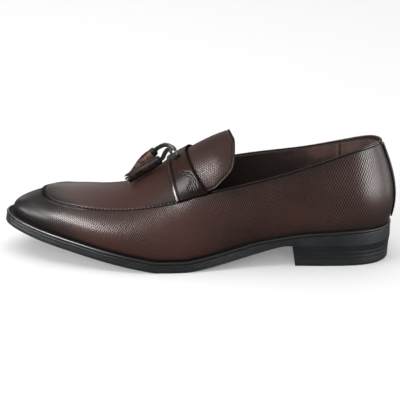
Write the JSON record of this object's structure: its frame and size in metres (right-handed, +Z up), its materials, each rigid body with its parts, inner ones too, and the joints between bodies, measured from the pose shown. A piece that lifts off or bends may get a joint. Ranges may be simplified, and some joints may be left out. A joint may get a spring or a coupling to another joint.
{
  "type": "tassel loafer",
  "caption": "Slip-on leather loafer with a raised apron seam, saddle strap, hanging leather tassels, welted sole with arch and toe spring, and a low stacked heel.",
  "frame": {"origin": "middle of the shoe's length and width, on the floor it stands on", "axes": "-X towards the toe, +X towards the heel, +Y towards the medial (inner) side, +Z up"},
  "size_m": [0.306, 0.1032, 0.0976],
  "materials": {
    "sole_rubber": "satin",
    "welt_leather": "satin, edge dressed black",
    "heel_leather": "satin, edge dressed black",
    "top_piece_rubber": "matt",
    "sock_leather": "matt",
    "embossed_leather": "fine embossed grain, half gloss, burnished toe",
    "smooth_leather": "smooth, gloss",
    "lace_leather": "smooth, half gloss",
    "dark_tassel_leather": "half gloss",
    "brown_tassel_leather": "half gloss"
  },
  "bodies": {
    "root": {"outsole": "sole_rubber", "welt": "welt_leather", "heel_stack": "heel_leather", "heel_top_piece": "top_piece_rubber", "insole": "sock_leather", "upper": "embossed_leather", "tongue": "embossed_leather", "saddle_strap": "smooth_leather", "back_strip": "smooth_leather", "collar_binding": "smooth_leather", "tassel_lace_lateral": "lace_leather", "tassel_lace_medial": "lace_leather", "tassel_lateral": "dark_tassel_leather", "tassel_medial": "brown_tassel_leather"}
  },
  "joints": []
}
